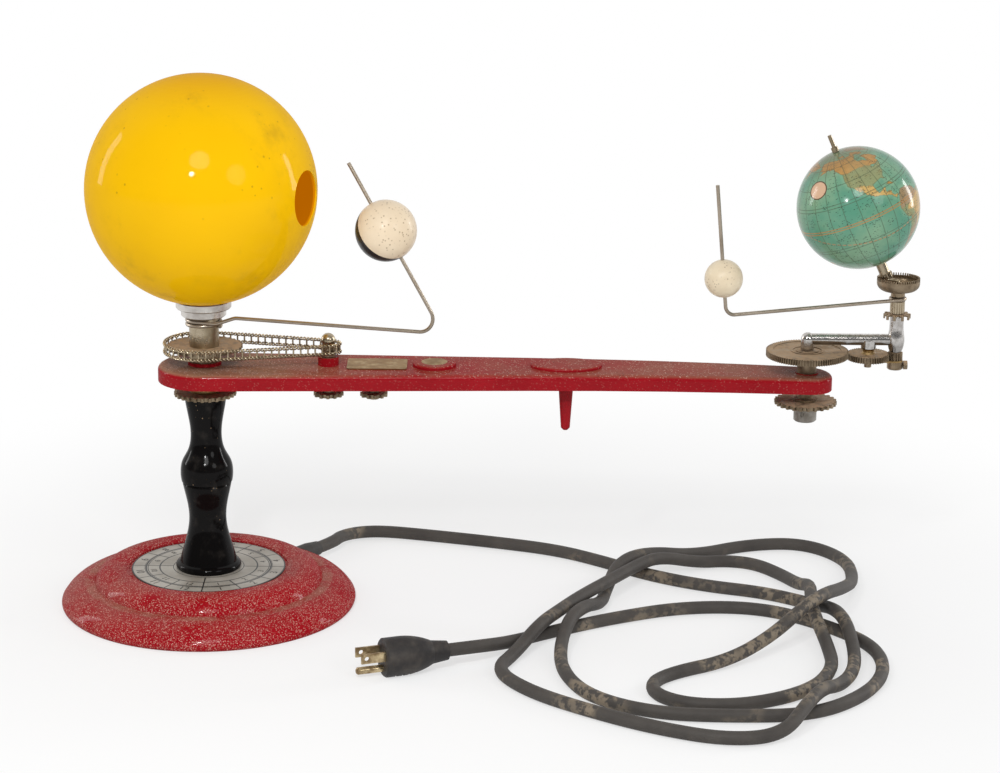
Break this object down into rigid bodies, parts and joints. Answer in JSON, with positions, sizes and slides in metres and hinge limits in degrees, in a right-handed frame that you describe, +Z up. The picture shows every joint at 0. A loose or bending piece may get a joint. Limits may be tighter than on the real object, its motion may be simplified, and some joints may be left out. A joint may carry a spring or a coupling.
{
  "type": "orrery",
  "caption": "Chain-driven classroom orrery: lit Sun globe on a column and round base, arm carrying a geared tilted Earth and Moon, and Venus on a bent wire.",
  "frame": {"origin": "centre of the base's flat underside, on the table, under the column's axis", "axes": "+Z up along the column; +X along the arm towards the Earth at rest; +Y to the back as seen in the picture"},
  "size_m": [0.5678, 0.3871, 0.3586],
  "materials": {
    "red_iron": "red enamel on cast iron, dusty and speckled with pale overspray",
    "red_enamel": "red enamel on an aluminium casting, dusty on top, worn at the edges",
    "black_paint": "glossy black paint on turned wood",
    "dial": "printed silver-cream dial with black rings, ticks and plain numbers",
    "cover_board": "dark pressed board",
    "stem_steel": "plain steel, slightly dull",
    "nickel": "nickel plate, slightly yellowed",
    "dusty_steel": "plated steel under tan dust",
    "chain_metal": "dull nickel-brass ladder chain",
    "brass": "tarnished brass",
    "satin_metal": "satin spun aluminium",
    "chrome": "pitted chrome plate",
    "sun_yellow": "glossy yellow, with faint brown specks",
    "earth_map": "varnished printed globe: teal sea, tan and green land, no lettering",
    "venus_paint": "cream paint with one black half, brown specks",
    "moon_paint": "aged cream paint",
    "cord_rubber": "dark grey rubber sheath, dirty",
    "plug_rubber": "dark moulded rubber",
    "porcelain": "off-white moulded socket",
    "bulb_glass": "frosted lamp glass"
  },
  "bodies": {
    "stand": {"base_casting": "red_iron", "base_cover": "cover_board", "dial_plate": "dial", "column": "black_paint", "stem_tube": "stem_steel", "stem_nut": "stem_steel", "stem_washer": "stem_steel", "fixed_sprocket": "dusty_steel", "thrust_washer": "brass", "cord_gland": "cord_rubber", "power_cord": "cord_rubber", "plug_body": "plug_rubber", "plug_blades": "brass", "lamp_socket": "porcelain", "lamp_bulb": "bulb_glass"},
    "arm": {"arm_casting": "red_enamel", "hub_bush": "brass", "arm_plate": "brass", "pad_inlay": "brass", "handle": "red_enamel", "handle_screw": "stem_steel", "tensioner_stud": "dusty_steel", "earth_fixed_gear": "dusty_steel", "venus_chain": "chain_metal"},
    "venus_drive": {"venus_shaft": "stem_steel", "venus_lower_sprocket": "dusty_steel", "venus_upper_sprocket": "dusty_steel", "cap_nut": "nickel"},
    "tensioner": {"tensioner_sprocket": "dusty_steel"},
    "venus_carrier": {"venus_sleeve": "nickel", "venus_sleeve_sprocket": "dusty_steel", "venus_wire": "dusty_steel"},
    "venus": {"venus_ball": "venus_paint"},
    "sun": {"sun_collar": "satin_metal", "sun_globe": "sun_yellow"},
    "crank": {"crank": "chrome", "crank_shaft": "stem_steel", "earth_end_sprocket": "dusty_steel", "sprocket_washer": "dusty_steel", "sprocket_hub": "stem_steel", "hub_set_screw": "stem_steel", "idler_stud": "dusty_steel", "idler_strap": "brass", "rod_collar": "dusty_steel", "rod_set_screw": "dusty_steel", "star_washer": "dusty_steel", "earth_axle": "nickel", "pole_collar": "brass"},
    "idler": {"idler_gear": "dusty_steel", "idler_bush": "brass"},
    "moon_carrier": {"moon_spindle": "stem_steel", "moon_pinion": "brass", "fluted_sleeve": "nickel", "cup_gear": "satin_metal", "moon_wire": "dusty_steel"},
    "moon": {"moon_ball": "moon_paint"},
    "earth": {"earth_pinion": "brass", "earth_globe": "earth_map"}
  },
  "joints": [
    {"name": "arm_revolve", "type": "hinge", "parent": "stand", "child": "arm", "pos_m": [0, 0, 0.16], "axis": [0, 0, 1], "continuous": true},
    {"name": "sun_turn", "type": "hinge", "parent": "stand", "child": "sun", "pos_m": [0, 0, 0.1995], "axis": [0, 0, 1], "continuous": true},
    {"name": "venus_shaft_spin", "type": "hinge", "parent": "arm", "child": "venus_drive", "pos_m": [0.0816, 0, 0.16], "axis": [0, 0, 1], "continuous": true},
    {"name": "venus_orbit", "type": "hinge", "parent": "arm", "child": "venus_carrier", "pos_m": [0, 0, 0.185], "axis": [0, 0, 1], "continuous": true},
    {"name": "tensioner_spin", "type": "hinge", "parent": "arm", "child": "tensioner", "pos_m": [0.1116, 0, 0.146], "axis": [0, 0, 1], "continuous": true},
    {"name": "crank_turn", "type": "hinge", "parent": "arm", "child": "crank", "pos_m": [0.3972, 0, 0.16], "axis": [0, 0, 1], "continuous": true},
    {"name": "idler_spin", "type": "hinge", "parent": "crank", "child": "idler", "pos_m": [0.43735, 0, 0.174], "axis": [0, 0, 1], "continuous": true},
    {"name": "moon_orbit", "type": "hinge", "parent": "crank", "child": "moon_carrier", "pos_m": [0.45522, 0, 0.2], "axis": [0, 0, 1], "continuous": true},
    {"name": "earth_spin", "type": "hinge", "parent": "crank", "child": "earth", "pos_m": [0.44654, 0, 0.2293], "axis": [-0.3987, 0, 0.9171], "continuous": true},
    {"name": "venus_slide", "type": "slide", "parent": "venus_carrier", "child": "venus", "axis": [-0.4897, 0.1732, 0.8545], "range_m": [-0.015, 0.025]},
    {"name": "moon_slide", "type": "slide", "parent": "moon_carrier", "child": "moon", "axis": [-0.0904, 0.0117, 0.9958], "range_m": [-0.003, 0.045]}
  ],
  "couplings": [
    {"joint": "crank_turn", "follows": "arm_revolve", "ratio": -1},
    {"joint": "idler_spin", "follows": "arm_revolve", "ratio": -1.9796},
    {"joint": "moon_orbit", "follows": "arm_revolve", "ratio": 6.0625},
    {"joint": "earth_spin", "follows": "arm_revolve", "ratio": 18.188},
    {"joint": "venus_shaft_spin", "follows": "arm_revolve", "ratio": 2.1667},
    {"joint": "venus_orbit", "follows": "arm_revolve", "ratio": 0.63725},
    {"joint": "tensioner_spin", "follows": "arm_revolve", "ratio": -2.3636}
  ]
}
